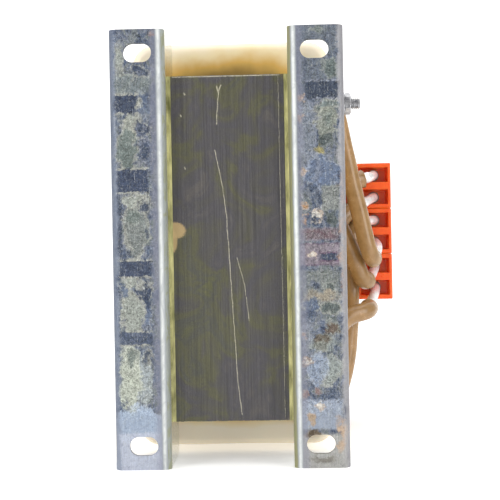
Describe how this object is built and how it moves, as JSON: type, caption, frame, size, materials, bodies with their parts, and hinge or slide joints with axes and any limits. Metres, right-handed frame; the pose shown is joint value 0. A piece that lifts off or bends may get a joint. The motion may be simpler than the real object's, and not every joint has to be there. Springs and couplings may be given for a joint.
{
  "type": "three-phase line choke",
  "caption": "Three-phase line choke: laminated core and wrapped coils clamped between slotted zinc-plated channels, with sleeved leads to orange terminal blocks on one side.",
  "frame": {"origin": "centre of the four slots of the mounting face", "axes": "+Z along the channels, as the picture shows them upright; +X towards the terminals; -Y is the mounting face's outward normal"},
  "size_m": [0.1552, 0.1835, 0.2253],
  "materials": {
    "core_steel": "ground edges of glued electrical sheet, varnished",
    "zinc_sheet": "zinc plated, resin stained",
    "pressboard": "varnished pressboard",
    "coil_wrap": "resin-soaked insulating wrap",
    "winding_copper": "enamelled copper wire",
    "sleeving": "varnished glass sleeving",
    "tinned_copper": "tinned strands",
    "terminal_plastic": "moulded polyamide",
    "clamp_metal": "nickel-plated brass",
    "fastener_steel": "zinc plated"
  },
  "bodies": {
    "root": {"air_gap_spacers": "pressboard", "bolt_tubes": "pressboard", "clamp_bolts": "fastener_steel", "clamp_cages": "clamp_metal", "clamp_nuts": "fastener_steel", "clamp_washers": "fastener_steel", "coil_bottom_former": "pressboard", "coil_bottom_winding": "winding_copper", "coil_bottom_wrap": "coil_wrap", "coil_middle_former": "pressboard", "coil_middle_winding": "winding_copper", "coil_middle_wrap": "coil_wrap", "coil_top_former": "pressboard", "coil_top_winding": "winding_copper", "coil_top_wrap": "coil_wrap", "core_e_stack": "core_steel", "core_i_stack": "core_steel", "earth_bolt": "fastener_steel", "earth_nut": "fastener_steel", "earth_washer": "fastener_steel", "lead_1_conductor": "tinned_copper", "lead_1_sleeve": "sleeving", "lead_2_conductor": "tinned_copper", "lead_2_sleeve": "sleeving", "lead_3_conductor": "tinned_copper", "lead_3_sleeve": "sleeving", "lead_4_conductor": "tinned_copper", "lead_4_sleeve": "sleeving", "lead_5_conductor": "tinned_copper", "lead_5_sleeve": "sleeving", "lead_6_conductor": "tinned_copper", "lead_6_sleeve": "sleeving", "mounting_channel_left": "zinc_sheet", "mounting_channel_right": "zinc_sheet", "mounting_strip_left": "pressboard", "mounting_strip_right": "pressboard", "terminal_block_1": "terminal_plastic", "terminal_block_2": "terminal_plastic", "terminal_block_3": "terminal_plastic", "terminal_fixing_screws": "fastener_steel", "terminal_screws": "fastener_steel", "top_channel_left": "zinc_sheet", "top_channel_right": "zinc_sheet", "top_strip_left": "pressboard", "top_strip_right": "pressboard"}
  },
  "joints": []
}
